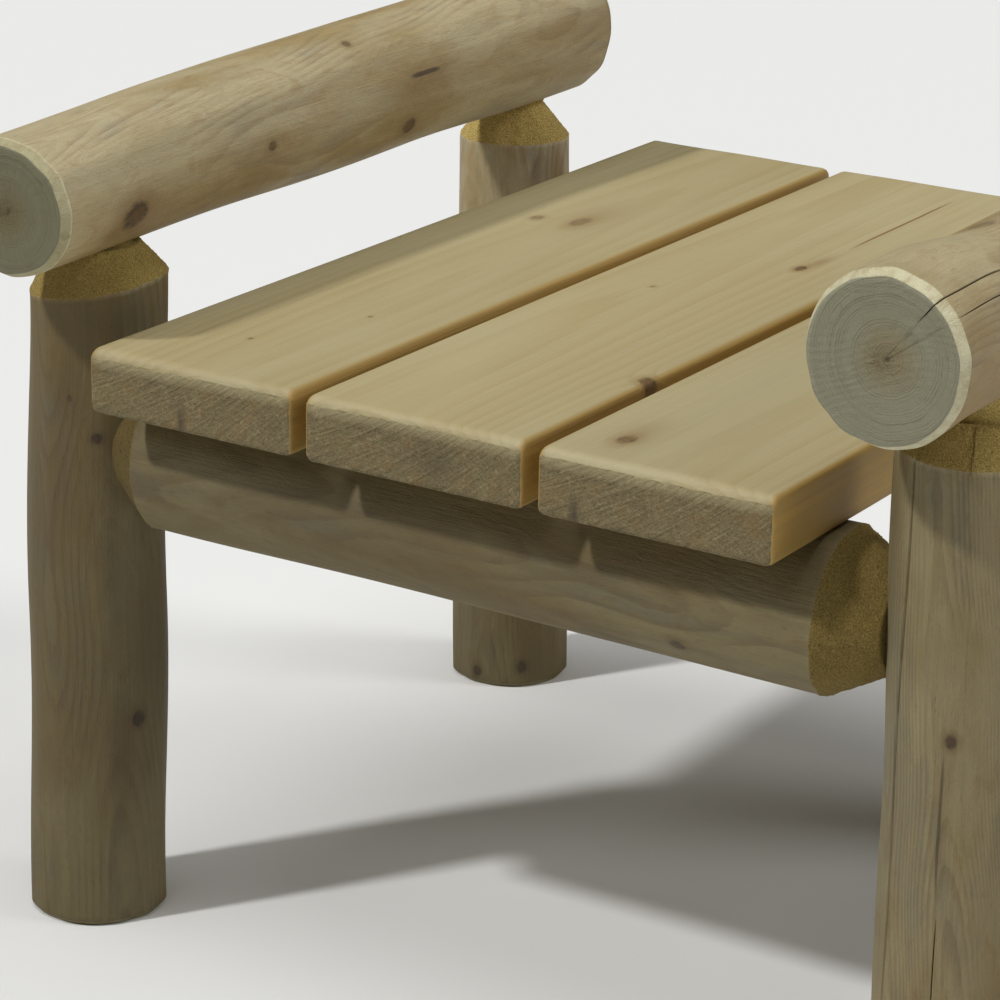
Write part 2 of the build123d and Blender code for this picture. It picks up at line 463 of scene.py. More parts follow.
# ---- logs ----
logStyle = {
    "columns": 150,
    "rowStep": 3.0 * mm,
    "coneStep": 1.5 * mm,
    "endStep": 2.6 * mm,
    "rimStep": 1.2 * mm,
    "tenonStep": 3 * mm,
    "tenonEndStep": 4 * mm,
    "lumps": 0.7 * mm,  # slow unevenness of the peeled surface
    "flats": 0.3 * mm,  # the long flats that a peeling knife leaves
    "tears": 0.28 * mm,  # fuzz of the turned shoulders
    "sawTooth": 0.12 * mm,
    "tenonRadius": 20 * mm,
    "tenonShown": 14 * mm,
    "middle": 0.4 * mm,  # radius of the small face that closes an end
    "tiltReach": 70 * mm,  # how far below a tilted shoulder the rows still follow it
    "ovalReach": 130 * mm,  # how far an oval front end carries along a log
    "markLong": 1.25,  # a mark's length along the log over its width, unless it says
    "knotHeight": 0.12,  # a knot's swelling and the dip in its middle, in knot radii
    "knotDip": 0.07,
    "checkColumns": (-3, -1.6, -1, -0.55, 0, 0.55, 1, 1.6, 3),  # in half widths of the check
    "checkClear": 3.6,  # even columns nearer than this are left out, in half widths
    "checkWander": 0.01,  # how far a check strays sideways, in radians
    "wanderWave": 31,  # per metre
    "wanderReach": 0.12,  # how far around the log the columns stray and turn with a check, in radians
    "spiralReach": 0.9,
    "checkEase": 25,  # mm over which a check fades in and out
    "checkInFace": 0.4,  # share of the radius that a check runs into a sawn end
    "checkOpening": 5 * mm,  # the deepest that a check dents a sawn end
}


def logEnd(style, full, at, out):
    # outline points from the middle of an end to the peeled surface: place along the log, depth
    # under its surface, then the kind of surface and the step between rows that follow
    s = logStyle
    if style["kind"] == "sawn":
        return [
            (at, full - s["middle"], "end", s["endStep"]),
            (at, style["rise"], "rim", s["rimStep"]),
            (at - out * style["bevel"], 0.0, "bark", s["rowStep"]),
        ]
    root = at + out * style["long"]
    tip = root + out * s["tenonShown"]
    return [
        (tip, full - s["middle"], "cone", s["tenonEndStep"]),
        (tip, full - s["tenonRadius"], "cone", s["tenonStep"]),
        (root, full - s["tenonRadius"], "cone", s["coneStep"]),
        (root, full - style["tip"], "cone", s["coneStep"]),
        (at, 0.0, "bark", s["rowStep"]),
    ]


def logRows(spec):
    # rows from end to end: place along the log, depth under its surface and kind of surface
    girth = spec["girth"]
    first = logEnd(spec["start"], girth[0][1] * mm, 0.0, -1)
    last = logEnd(spec["end"], girth[-1][1] * mm, spec["length"], 1)[::-1]
    rows = []

    def run(start, stop, step, kind):
        count = max(1, round(math.dist(start[:2], stop[:2]) / step))
        for i in range(count):
            t = i / count
            at, depth = (a + (b - a) * t for a, b in zip(start[:2], stop[:2]))
            rows.append((at, depth, kind))

    for a, b in zip(first, first[1:]):
        run(a, b, a[3], a[2])
    run(first[-1], last[0], logStyle["rowStep"], "bark")
    for a, b in zip(last, last[1:]):
        run(a, b, b[3], b[2])
    rows.append((*last[-1][:2], "stop"))
    return rows


def awayFrom(turn, degrees):
    # the angle from a line along the log, between minus and plus half a turn
    return (turn - math.radians(degrees) + math.pi) % math.tau - math.pi


def checkHalf(spec, check):
    # half of a drying check's width, as an angle
    return check["width"] / 2 / spec["girth"][0][1]


def logColumns(spec, along, inside):
    # the angles of the columns, closer together beside each drying check, and the angles of all
    # the points, which stray and turn with the checks
    s = logStyle
    checks = spec.get("checks", [])
    angles = list(np.linspace(-math.pi, math.pi, s["columns"], endpoint=False))
    for check in checks:
        middle = math.radians(check["angle"])
        half = checkHalf(spec, check)
        angles = [a for a in angles if abs(a - middle) > s["checkClear"] * half]
        angles += [middle + half * k for k in s["checkColumns"]]
    angles = np.array(sorted(angles))[None, :]
    turn = angles + 0 * along
    for check in checks:
        away = awayFrom(angles, check["angle"])
        wander = check.get("wander", s["checkWander"]) * np.sin(along * s["wanderWave"] + check["angle"])
        spiral = math.radians(check["spiral"]) * inside / spec["length"]
        turn = turn + wander * hill(away / s["wanderReach"]) + spiral * hill(away / s["spiralReach"])
    return angles, turn


def logMarks(spec, turn, inside, radius):
    # how the knots, thin lines, warm patches and grey stains fall on the surface
    s = logStyle
    nearest = np.full(turn.shape, farAway)
    fields = {key: np.zeros(turn.shape) for key in ("warm", "stain", "bumps")}
    ways = {key: np.zeros((*turn.shape, 3)) for key in ("knotAt", "lineAt")}
    for mark in spec["marks"]:
        kind, tone, size = mark["kind"], mark["tone"], mark["size"] * mm
        across = awayFrom(turn, mark["angle"]) * radius
        down = (inside - mark["at"] * mm) / mark.get("long", s["markLong"])
        away = np.hypot(across, down) / size
        if kind in ("warm", "stain"):
            fields[kind] = np.maximum(fields[kind], tone * hill(away))
            continue
        way = knotWays(across / size, down / size, tone, away)
        if kind == "line":
            ways["lineAt"] = way
            continue
        ways["knotAt"] = np.where((away < nearest)[..., None], way, ways["knotAt"])
        nearest = np.minimum(nearest, away)
        fields["bumps"] += mark.get("height", s["knotHeight"]) * size * hill(away / 1.7)
        fields["bumps"] -= s["knotDip"] * size * hill(away / 0.6)
    return fields, ways


def logChecks(spec, angles, inside, share, isEnd, canSplit):
    # the drying checks: how far in the middle of one each point is, and how deep it is there
    s = logStyle
    groove, cut = np.zeros((2, len(inside), angles.shape[1]))
    for check in spec.get("checks", []):
        away = np.abs(awayFrom(angles, check["angle"]))
        first, last = (v * mm for v in check["span"])
        ease = check.get("ease", s["checkEase"]) * mm
        fade = np.clip((inside - first) / ease, 0, 1) * np.clip((last - inside) / ease, 0, 1)
        inFace = np.clip((share - 1 + check.get("reach", s["checkInFace"])) * 6, 0, 1)
        shape = np.clip(1 - away / checkHalf(spec, check), 0, 1) ** 0.6 * fade
        shape = shape * np.where(isEnd, inFace, 1) * canSplit
        groove = np.maximum(groove, shape)
        cut = np.maximum(cut, shape * check["depth"] * mm)
    return groove, cut


def tubeFaces(kinds, count, flip):
    # four-sided faces between the rows and one face to close each end
    faces = []
    faceKinds = []
    for i, kind in enumerate(kinds[:-1]):
        for j in range(count):
            k = (j + 1) % count
            faces.append((i * count + j, i * count + k, (i + 1) * count + k, (i + 1) * count + j))
            faceKinds.append(kind)
    lastRow = (len(kinds) - 1) * count
    faces.append(tuple(range(count - 1, -1, -1)))
    faces.append(tuple(lastRow + j for j in range(count)))
    faceKinds += [kinds[0], kinds[-2]]
    return [f[::-1] for f in faces] if flip else faces, faceKinds


def makeLog(name, spec):
    # "girth" lists radii and "course" how far the log strays from its straight line, both in mm from
    # its start; "tone" paints shade and light on the peeled wood, given at each end and blended
    # between, and "endTone", "rimTone" and the cones' own pair darken or lighten its cut ends, the
    # cones with painted shade and light
    s = logStyle
    seed, length, hand = spec["seed"], spec["length"], spec.get("hand", 1)
    draw = np.random.default_rng(seed)
    rows = logRows(spec)
    along, inset = (np.array([[r[i]] for r in rows]) for i in (0, 1))
    kinds = [r[2] for r in rows]
    isBark, isCone, isRim = (np.array([[k == kind] for k in kinds]) for kind in ("bark", "cone", "rim"))
    early = along < length / 2
    inside = np.clip(along, 0, length)
    fullRadius = between(spec["girth"], inside, 1)
    angles, turn = logColumns(spec, along, inside)
    lumps = smoothField(seed, (1, 2, 2, 3, 3, 4, 5), 5.0)(turn, inside)
    flats = smoothField(seed + 50, (9, 11, 12, 14), 2.2)(turn, inside)
    surface = lumps * s["lumps"] * spec.get("uneven", 1.0) + flats * s["flats"]
    marks, ways = logMarks(spec, turn, inside, fullRadius)
    # how far each row is from the middle of a sawn end, or from the tip of a cone
    styles = [spec["start"] if e else spec["end"] for e in early[:, 0]]
    sawn = np.array([[style["kind"] == "sawn"] for style in styles])
    isEnd = np.array([[k in ("end", "stop")] for k in kinds]) & sawn
    share = 1 - inset / fullRadius
    tips = np.array([[style.get("tip", 0.0)] for style in styles])
    toTip = np.clip(1 - inset / np.maximum(fullRadius - tips, mm), 0, 1)
    weight = np.where(sawn, np.clip(share, 0, 1), toTip)
    groove, cut = logChecks(spec, angles, inside, share, isEnd, sawn | (inset == 0))
    oval = spec.get("oval", 0.0) * mm * hill(inside / s["ovalReach"]) * np.cos(2 * turn)
    radius = fullRadius - inset + (surface + marks["bumps"] + oval) * weight
    radius = radius - cut * np.where(isEnd, 0, np.where(sawn, 1, toTip))
    # torn cones, rough sawn ends with the checks opening into them, and tilted shoulders
    onCone = isCone & (toTip < 1) & (inset < fullRadius - s["tenonRadius"])
    atShoulder = ~sawn & (inset == 0) & ((along <= 0) | (along >= length))
    radius = radius + (onCone | atShoulder) * draw.normal(0, s["tears"], turn.shape)
    outward = np.where(early, -1.0, 1.0) * (isEnd & (share > 0.05))
    sawMarks = draw.normal(0, s["sawTooth"], turn.shape)
    push = outward * (sawMarks - np.minimum(cut, s["checkOpening"]))
    for which, style, edge in ((early, spec["start"], 0.0), (~early, spec["end"], length)):
        lean = np.cos(turn - math.radians(style.get("tiltAngle", 0)))
        follow = np.clip(1 - np.abs(along - edge) / s["tiltReach"], 0, 1)
        push = push + which * style.get("tilt", 0.0) * mm * lean * np.where(toTip < 1, toTip, follow)
    # every point in place
    x = radius * np.cos(turn)
    y = radius * np.sin(turn)
    reach = along + push
    axis = Vector(spec["along"]).normalized()
    top = Vector(spec["zero"])
    side = axis.cross(top) * hand
    course = [between(spec["course"], inside, column) for column in (1, 2, 3)]
    spots = zip(spec["from"], top, side, axis, course)
    points = np.stack([start + x * t + y * u + reach * a + c for start, t, u, a, c in spots], -1)
    if "flatAbove" in spec:
        over = points[..., 2] > spec["flatAbove"]
        points[..., 2] = np.where(over, spec["flatAbove"], points[..., 2])
        groove = np.where(over, 0, groove)
    faces, faceKinds = tubeFaces(kinds, turn.shape[1], hand < 0)
    # what the materials read
    waves = smoothField(seed + 9, (1, 1, 2, 2, 3), 0.9)(turn, inside)
    ripple = smoothField(seed + 19, (0, 1, 2), 9.0)(turn, inside)
    pithX, pithY = (v * mm for v in spec.get("pith", (0, 0)))
    # painted shade and light: the peeled wood goes from the foot's value to the head's, and the cones take
    # their own pair of values
    foot, head = spec["tone"]
    conePaintedShading = np.where(early, *spec.get("conePaintedShading", (1.0, 1.0)))
    rimTone = np.where(isRim, spec.get("rimTone", 1.0), spec.get("endTone", 1.0))
    cutTone = np.where(isCone, conePaintedShading, rimTone)
    fields = {
        "contour": 9 * waves + 0.5 * ripple + inside * 7 + marks["bumps"] * 900,
        "warm": marks["warm"],
        "stain": marks["stain"],
        "groove": groove,
        "pith": np.hypot(x - pithX, y - pithY),
        "tone": np.where(isBark, foot + (head - foot) * inside / length, cutTone) + 0 * turn,
    }
    vectors = {"place": np.stack([x, y, reach + seed * 1.7], -1), **ways}
    return buildMesh(name, points.reshape(-1, 3), faces, faceKinds, fields, vectors)


# ---- posts ----
# marks lie "at" mm along a log and "angle" degrees around it; their "size" is a radius in mm
footEnd = {"kind": "sawn", "rise": 2.5 * mm, "bevel": 3 * mm}
# the posts' foot rims and sawn feet are darkened to 0.4: painted shade at the foot
postStyle = {"start": footEnd, "rimTone": 0.4, "endTone": 0.4, "pith": (4, 3), "zero": (0, -1, 0)}
# each leg's "tone" is its own tone together with painted shade and light: darkest at the foot, and on the
# back left leg and its cone lighter towards the top
postLook = {
    "leg_front_left": {
        "seed": 11, "tone": (0.38, 0.54), "conePaintedShading": (1, 0.98), "girth": [(0, 41), (405, 41)],
        "course": [(0, -5.1, -3.3, 0), (200, -2.5, -1.5, 0), (405, 1.8, 1.1, 0)],
        "end": {"kind": "cone", "long": 23 * mm, "tip": 25 * mm, "tilt": 6.0, "tiltAngle": 122},
        "shoulder": 401.5,
        "marks": [
            {"kind": "stain", "at": 332, "angle": -3, "size": 8, "tone": 1.0, "long": 1.6},
            {"kind": "warm", "at": 345, "angle": 12, "size": 9, "tone": 0.6, "long": 2.6},
            {"kind": "warm", "at": 276, "angle": 4, "size": 20, "tone": 0.6, "long": 2.2},
            {"kind": "knot", "at": 316, "angle": 38, "size": 2.7, "tone": 1.0, "long": 1.0},
            {"kind": "knot", "at": 340, "angle": 15, "size": 1.4, "tone": 0.6},
            {"kind": "stain", "at": 386, "angle": 64, "size": 12, "tone": 1.0, "long": 1.3},
            {"kind": "stain", "at": 240, "angle": -25, "size": 16, "tone": 0.7, "long": 4},
            {"kind": "knot", "at": 135, "angle": 74, "size": 3.6, "tone": 0.9},
            {"kind": "warm", "at": 112, "angle": 62, "size": 17, "tone": 0.8, "long": 2.2},
            {"kind": "warm", "at": 190, "angle": 100, "size": 26, "tone": 0.7, "long": 3},
            {"kind": "knot", "at": 210, "angle": 200, "size": 6, "tone": 0.8},
        ],
    },
    "leg_front_right": {
        "seed": 12, "tone": (0.68, 0.7), "conePaintedShading": (1, 1.15), "girth": [(0, 41), (405, 41)],
        "course": [(0, 7.5, 4.8, 0), (200, 4.5, 2.9, 0), (405, 1.8, 1.1, 0)],
        "end": {"kind": "cone", "long": 18 * mm, "tip": 25 * mm},
        "shoulder": 408,
        "checks": [
            {"angle": -41, "spiral": 14, "width": 1.9, "depth": 5, "span": (-40, 520), "wander": 0.015},
            {"angle": 7, "spiral": 8, "width": 0.8, "depth": 2.5, "span": (-40, 165), "wander": 0.015},
        ],
        "marks": [
            {"kind": "knot", "at": 263, "angle": 16, "size": 2.6, "tone": 1.0},
            {"kind": "line", "at": 215, "angle": 11, "size": 1.1, "tone": 0.6, "long": 40},
            {"kind": "warm", "at": 225, "angle": 12, "size": 5, "tone": 0.5, "long": 8},
            {"kind": "stain", "at": 300, "angle": -48, "size": 13, "tone": 0.9, "long": 14},
            {"kind": "warm", "at": 150, "angle": 60, "size": 30, "tone": 0.35, "long": 3},
            {"kind": "knot", "at": 120, "angle": 150, "size": 7, "tone": 0.8},
        ],
    },
    "leg_back_left": {
        "seed": 13, "tone": (0.36, 1.3), "conePaintedShading": (1, 1.6), "girth": [(0, 41.3), (200, 41), (405, 37.4)],
        "course": [(0, -2.4, -1.5, 0), (220, -3.0, -1.8, 0), (405, -5.6, -3.6, 0)],
        "end": {"kind": "cone", "long": 24 * mm, "tip": 18.5 * mm},
        "shoulder": 399,
        "marks": [
            {"kind": "knot", "at": 10, "angle": -2, "size": 2.8, "tone": 0.8},
            {"kind": "knot", "at": 16, "angle": 44, "size": 3.2, "tone": 0.8},
            {"kind": "stain", "at": 50, "angle": -20, "size": 20, "tone": 0.7, "long": 2},
            {"kind": "warm", "at": 372, "angle": 84, "size": 9, "tone": 1.0, "long": 3},
            {"kind": "knot", "at": 240, "angle": 130, "size": 7, "tone": 0.9},
            {"kind": "warm", "at": 300, "angle": 160, "size": 30, "tone": 0.5, "long": 2.5},
        ],
    },
    "leg_back_right": {
        "seed": 14, "tone": (0.5, 0.8), "conePaintedShading": (1, 1.1), "girth": [(0, 41), (405, 40)],
        "course": [(0, 1, 1, 0), (200, -1, 0, 0), (405, 0, 0, 0)],
        "end": {"kind": "cone", "long": 19.5 * mm, "tip": 20.5 * mm},
        "shoulder": 405,
        "checks": [{"angle": 150, "spiral": 9, "width": 1.6, "depth": 5, "span": (120, 460)}],
        "marks": [
            {"kind": "knot", "at": 150, "angle": 60, "size": 7, "tone": 0.9},
            {"kind": "knot", "at": 310, "angle": 190, "size": 5, "tone": 0.9},
            {"kind": "warm", "at": 330, "angle": 200, "size": 30, "tone": 0.5, "long": 2.5},
        ],
    },
}
for node, look in postLook.items():
    low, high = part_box(node)
    foot = ((low.x + high.x) / 2, (low.y + high.y) / 2, low.z)
    spec = {**postStyle, **look, "from": foot, "along": (0, 0, 1), "length": look["shoulder"] * mm}
    standFor(makeLog(f"{node}_log", spec), node)
print("posts done")

# ---- arms ----
armEnd = {"kind": "sawn", "rise": 3.2 * mm, "bevel": 6.0 * mm}
armStyle = {"start": armEnd, "end": armEnd, "zero": (0, 0, 1)}
# each arm's "tone" above 1 lightens its peeled wood: painted light on the arms, which light falls on from
# above
armLook = {
    "arm_log_left": {
        "frontRadius": 41.5, "backRadius": 47.5,
        "seed": 21, "tone": (1.2, 1.16), "endTone": 0.66, "rimTone": 0.82,
        "pith": (-1, 2), "oval": -1.8,
        "girth": [(0, 41.6), (140, 42.8), (370, 43.6), (586, 47.5)],
        "course": [(0, 2, 0, -4.6), (140, 0, 0, -1.6), (586, 0, 0, 0)],
        "marks": [
            {"kind": "knot", "at": 65, "angle": 107, "size": 7.5, "tone": 1.0, "long": 1.3, "height": 0.25},
            {"kind": "warm", "at": 74, "angle": 112, "size": 22, "tone": 0.7, "long": 1.6},
            {"kind": "warm", "at": 52, "angle": 120, "size": 9, "tone": 1.0, "long": 1.2},
            {"kind": "knot", "at": 197, "angle": 91, "size": 2.6, "tone": 0.8},
            {"kind": "warm", "at": 190, "angle": 100, "size": 30, "tone": 0.3, "long": 2.4},
            {"kind": "knot", "at": 305, "angle": 28, "size": 2.4, "tone": 0.7},
            {"kind": "knot", "at": 347, "angle": 116, "size": 4.4, "tone": 0.9, "height": 0.3},
            {"kind": "line", "at": 363, "angle": 72, "size": 2.0, "tone": 0.8, "long": 9},
            {"kind": "warm", "at": 360, "angle": 76, "size": 16, "tone": 0.6, "long": 3.0},
            {"kind": "knot", "at": 460, "angle": -60, "size": 7, "tone": 0.9},
        ],
    },
    "arm_log_right": {
        "frontRadius": 44.5, "backRadius": 47.5,
        "seed": 22, "tone": (1.1, 1.06), "endTone": 0.97, "rimTone": 1.16,
        "pith": (2, 3), "uneven": 0.4, "oval": 0.8,
        "girth": [(0, 44.8), (50, 44.0), (115, 42.3), (300, 43.8), (586, 47.5)],
        "course": [
            (0, -5.9, 0, 2.2), (50, -5.3, 0, 4.2), (115, -4.6, 0, 0.2), (300, -2.6, 0, 0), (586, 0, 0, 0),
        ],
        "checks": [
            {
                "angle": 38, "spiral": 6, "width": 1.0, "depth": 2.6, "span": (-60, 150),
                "ease": 60, "reach": 0.36,
            },
            {"angle": 54, "spiral": 6, "width": 0.8, "depth": 2, "span": (3, 90), "reach": 0.05},
        ],
        "marks": [
            {"kind": "knot", "at": 122, "angle": -13, "size": 6, "tone": 0.4, "height": 0.02},
            {"kind": "warm", "at": 70, "angle": 122, "size": 28, "tone": 0.6, "long": 5.0},
            {"kind": "warm", "at": 300, "angle": 40, "size": 24, "tone": 0.4, "long": 4.0},
            {"kind": "knot", "at": 330, "angle": 60, "size": 6, "tone": 0.9},
            {"kind": "knot", "at": 420, "angle": -70, "size": 7, "tone": 0.9},
        ],
    },
}
for node, look in armLook.items():
    low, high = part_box(node)
    middle = (low.x + high.x) / 2
    start = Vector((middle, low.y, low.z + look["frontRadius"] * mm))
    stop = Vector((middle, high.y, low.z + look["backRadius"] * mm))
    spec = {**armStyle, **look, "from": start, "along": stop - start, "length": (stop - start).length}
    standFor(makeLog(f"{node}_log", spec), node)
print("arms done")

# ---- rails ----
railStyle = {
    "radius": 45 * mm,
    "left": -226 * mm,  # where the peeled part starts and stops, and where both cones end
    "right": 216 * mm,
    "coneEnd": 251 * mm,
    "tip": 27 * mm,
    "tiltAngles": (-20, 25),
}
# the rails' "tone" darkens them with painted shade under the seat, and the front rail's left cone is
# darkened further with painted shade beside the leg
railLook = {
    "seat_rail_front": {
        "seed": 31, "tone": (0.5, 0.5), "conePaintedShading": (0.35, 0.6), "girth": [(0, 46), (213, 45.2), (442, 47)],
        "course": [(0, 0, 0, -0.5), (442, 0, 0, -1)], "tilts": (4.0, 5.0),
        "marks": [
            {"kind": "knot", "at": 365, "angle": -33, "size": 3.2, "tone": 0.7},
            {"kind": "stain", "at": 153, "angle": 5, "size": 26, "tone": 0.4, "long": 4},
            {"kind": "warm", "at": 110, "angle": 40, "size": 20, "tone": 0.5, "long": 6},
            {"kind": "warm", "at": 330, "angle": 45, "size": 20, "tone": 0.5, "long": 6},
        ],
    },
    "seat_rail_back": {
        "seed": 32, "tone": (0.66, 0.66), "conePaintedShading": (0.9, 0.9), "girth": [(0, 45), (442, 45)],
        "course": [(0, 0, 0, 0), (442, 0, 0, 0)], "tilts": (0, 0),
        "marks": [
            {"kind": "knot", "at": 120, "angle": 150, "size": 6, "tone": 0.9},
            {"kind": "knot", "at": 300, "angle": 205, "size": 5, "tone": 0.9},
            {"kind": "warm", "at": 290, "angle": 180, "size": 30, "tone": 0.5, "long": 3},
        ],
    },
}
for node, look in railLook.items():
    v = railStyle
    low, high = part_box(node)
    longs = (v["left"] + v["coneEnd"], v["coneEnd"] - v["right"])
    ends = [
        {"kind": "cone", "long": long, "tip": v["tip"], "tilt": tilt, "tiltAngle": angle}
        for long, tilt, angle in zip(longs, look["tilts"], v["tiltAngles"])
    ]
    spec = {
        **look, "from": (v["left"], (low.y + high.y) / 2, low.z + v["radius"]),
        "along": (1, 0, 0), "zero": (0, -1, 0), "hand": -1, "length": v["right"] - v["left"],
        "start": ends[0], "end": ends[1], "flatAbove": high.z,
    }
    standFor(makeLog(f"{node}_log", spec), node)
print("rails done")

# ---- seat boards ----
boardStyle = {
    "step": 2.4 * mm,
    "round": (4.5 * mm, 2.2 * mm, 4.5 * mm),
    "edgeCells": 5,  # grid cells across a rounded edge
    "endRound": 7.0 * mm,  # the top edge of a sawn end, worn rounder than the others
    "wornLeast": 0.9,  # share of that rounding, and how much it varies across the board
    "wornVaries": 0.09,
    "wave": 0.25 * mm,
    "endFuzz": 0.18 * mm,  # torn fibres on a sawn end, and on the top next to it
    "topFuzz": 0.075 * mm,
    "fuzzReach": 4 * mm,
    "ringWander": 3.2,  # mm that the growth rings stray from circles
    "knotBulge": 1.2,  # how far a knot pushes the rings aside, in knot radii
    "knotThrough": 0.3,  # share of the thickness that a knot's colour goes down
    "markLong": 1.3,  # a mark's length along the board over its width, unless it says
    "sideBand": (4 * mm, 3 * mm),  # where the sides' colour starts from an edge, and its blend
    "frontBand": (6 * mm, 3 * mm),  # the same for a mark on the front sawn end
}
# marks lie "at" mm across the board and along the bench; an end's "crack" is placed by its height
boardLook = {
    "seat_board_left": {
        "seed": 41, "tone": 1.02, "pith": (18, -70),
        "marks": [
            {"kind": "knot", "at": (-8, -239), "size": 1.2, "tone": 0.6},
            {"kind": "knot", "at": (22, -163), "size": 1.2, "tone": 0.5},
            {"kind": "knot", "at": (-20, 85), "size": 3.5, "tone": 0.5, "long": 1.4},
            {"kind": "knot", "at": (9, 91), "size": 4.5, "tone": 0.5, "long": 2.2},
            {"kind": "warm", "at": (12, 105), "size": 15, "tone": 0.4, "long": 2.5},
            {"kind": "crack", "at": (-5, 355), "size": 2.0, "tone": 0.9, "tall": 4},
        ],
    },
    "seat_board_middle": {
        "seed": 42, "tone": 1.1, "pith": (-25, -90),
        "marks": [
            {"kind": "knot", "at": (27, 78), "size": 2.8, "tone": 0.95, "long": 1.8},
            {"kind": "warm", "at": (30, 96), "size": 4, "tone": 0.8, "long": 4},
            {"kind": "line", "at": (31, 210), "size": 1.3, "tone": 0.9, "long": 62},
            {"kind": "knot", "at": (-26, -11), "size": 1.3, "tone": 0.4},
            {"kind": "knot", "at": (69, -176), "size": 5, "tone": 0.95, "long": 1.1, "sink": 0.8},
            {"kind": "crack", "at": (14, 366), "size": 17, "tone": 0.34, "tall": 0.6},
        ],
    },
    "seat_board_right": {
        "seed": 43, "tone": 1.1, "pith": (12, -60),
        "marks": [
            {"kind": "knot", "at": (-38, -271), "size": 4.2, "tone": 0.7, "long": 1.5},
            {"kind": "warm", "at": (-38, -262), "size": 11, "tone": 0.5, "long": 2.4},
            {"kind": "knot", "at": (30, 140), "size": 4, "tone": 0.6},
            {"kind": "crack", "at": (-47, 354), "size": 2.6, "tone": 0.9, "tall": 3},
        ],
    },
}


def boardGrid(size):
    # a box of small cells round the origin, with smaller cells where its edges are to be rounded
    s = boardStyle

    def stops(axis):
        length = size[axis]
        r = s["endRound"] if axis > 0 else s["round"][axis]
        edge = r * (1 - np.cos(np.linspace(0, math.pi / 2, s["edgeCells"] + 1)))
        inner = np.linspace(r, length - r, max(2, round((length - 2 * r) / s["step"])) + 1)
        return np.concatenate([edge[:-1], inner, (length - edge[::-1])[1:]]) - length / 2

    lines = [stops(axis) for axis in range(3)]
    counts = [len(line) - 1 for line in lines]
    index = {}
    points = []
    faces = []
    faceKinds = []

    def corner(where):
        if where not in index:
            index[where] = len(points)
            points.append([line[i] for line, i in zip(lines, where)])
        return index[where]

    def cell(axis, end, u, w):
        quad = []
        for du, dw in ((0, 0), (1, 0), (1, 1), (0, 1)):
            where = [0, 0, 0]
            where[axis], where[(axis + 1) % 3], where[(axis + 2) % 3] = end, u + du, w + dw
            quad.append(corner(tuple(where)))
        faces.append(tuple(quad if end else quad[::-1]))
        underEnd = axis == 2 and not end and min(w, counts[1] - 1 - w) < s["edgeCells"]
        faceKinds.append("boardEnd" if axis == 1 or underEnd else "board")

    for axis in range(3):
        for end in (0, counts[axis]):
            for u in range(counts[(axis + 1) % 3]):
                for w in range(counts[(axis + 2) % 3]):
                    cell(axis, end, u, w)
    return np.array(points), faces, faceKinds


def wearBoard(box, size, seed):
    # the box with its edges rounded, its sawn ends' top edges worn further and its ends torn
    s = boardStyle
    soft = np.array(s["round"])
    core = np.clip(box, -(size / 2 - soft), size / 2 - soft)
    out = (box - core) / soft
    span = np.maximum(np.linalg.norm(out, axis=1, keepdims=True), 1e-9)
    shaped = core + out / span * soft * (span > 1e-6)
    draw = np.random.default_rng(seed)
    varies = s["wornVaries"] * smoothField(seed + 3, (1, 2, 3), 0)(shaped[:, 0] * 18, 0)
    worn = s["endRound"] * (s["wornLeast"] + varies)
    inwards = np.clip(worn - (size[1] / 2 - np.abs(shaped[:, 1])), 0, worn)
    drop = worn - np.sqrt(np.maximum(worn**2 - inwards**2, 0))
    shaped[:, 2] -= drop * np.clip(shaped[:, 2] / (size[2] / 2), 0, 1)
    wave = smoothField(seed, (1, 2, 3), 1.6)(shaped[:, 0] * 20, shaped[:, 1])
    shaped[:, 2] += np.where(box[:, 2] > 0, (wave - 1) * s["wave"], 0)
    fromEnd = size[1] / 2 - np.abs(box[:, 1])
    shaped[:, 1] += (fromEnd < 1e-6) * draw.normal(0, s["endFuzz"], len(box))
    shaped[:, 2] += (fromEnd < s["fuzzReach"]) * draw.normal(0, s["topFuzz"], len(box))
    return shaped


def endMark(mark, shaped, middle, size):
    # a crack or a stain on the front sawn end
    reach = mark["size"] * mm
    dx = (shaped[:, 0] - mark["at"][0] * mm) / reach
    dz = (shaped[:, 2] + middle[2] - mark["at"][1] * mm) / mark["tall"] / reach
    band, blend = boardStyle["frontBand"]
    front = np.clip((-shaped[:, 1] - (size[1] / 2 - band)) / blend, 0, 1)
    return mark["tone"] * hill(np.hypot(dx, dz)) * front


